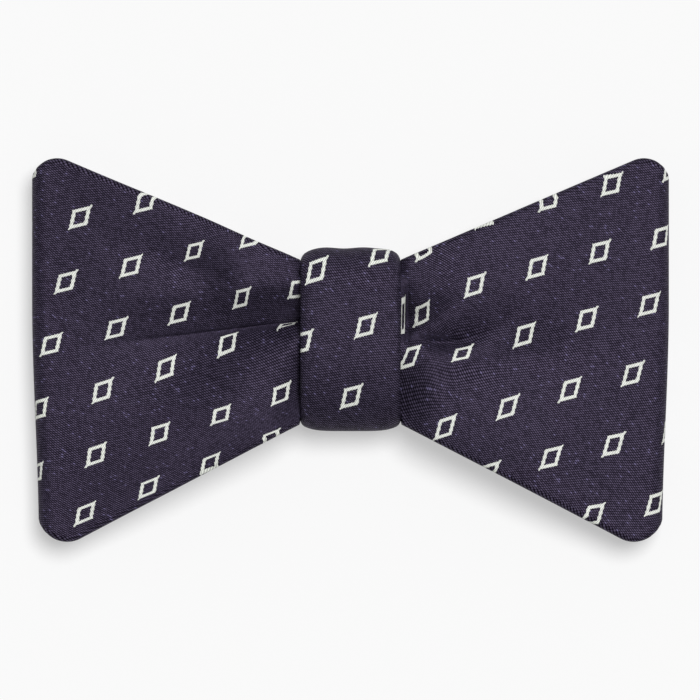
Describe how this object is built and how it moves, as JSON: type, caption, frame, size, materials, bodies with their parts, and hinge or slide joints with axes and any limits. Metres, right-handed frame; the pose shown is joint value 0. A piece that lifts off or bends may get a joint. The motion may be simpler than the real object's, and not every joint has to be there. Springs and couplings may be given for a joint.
{
  "type": "diamond-patterned bow tie",
  "caption": "Pre-tied butterfly bow tie of padded silk: two folded loops pinched by a plain wrap, with a bent steel clip behind them that slips under a shirt collar.",
  "frame": {"origin": "middle of the bow's outline, on the surface that the bow lies on", "axes": "+X to the right of the bow as seen from the front, +Y up, +Z out of its front, so the bow lies on its back"},
  "size_m": [0.11, 0.0662, 0.0161],
  "materials": {
    "wing_silk": "dark purple-navy woven silk with small outlined diamonds in ivory, low sheen",
    "wrap_silk": "the same silk as the wings, cut with its own pattern placement",
    "spring_steel": "plain nickel-coloured spring steel strip, fine brushing along its length"
  },
  "bodies": {
    "root": {"bow_loops": "wing_silk", "knot_wrap": "wrap_silk", "collar_clip": "spring_steel"}
  },
  "joints": []
}
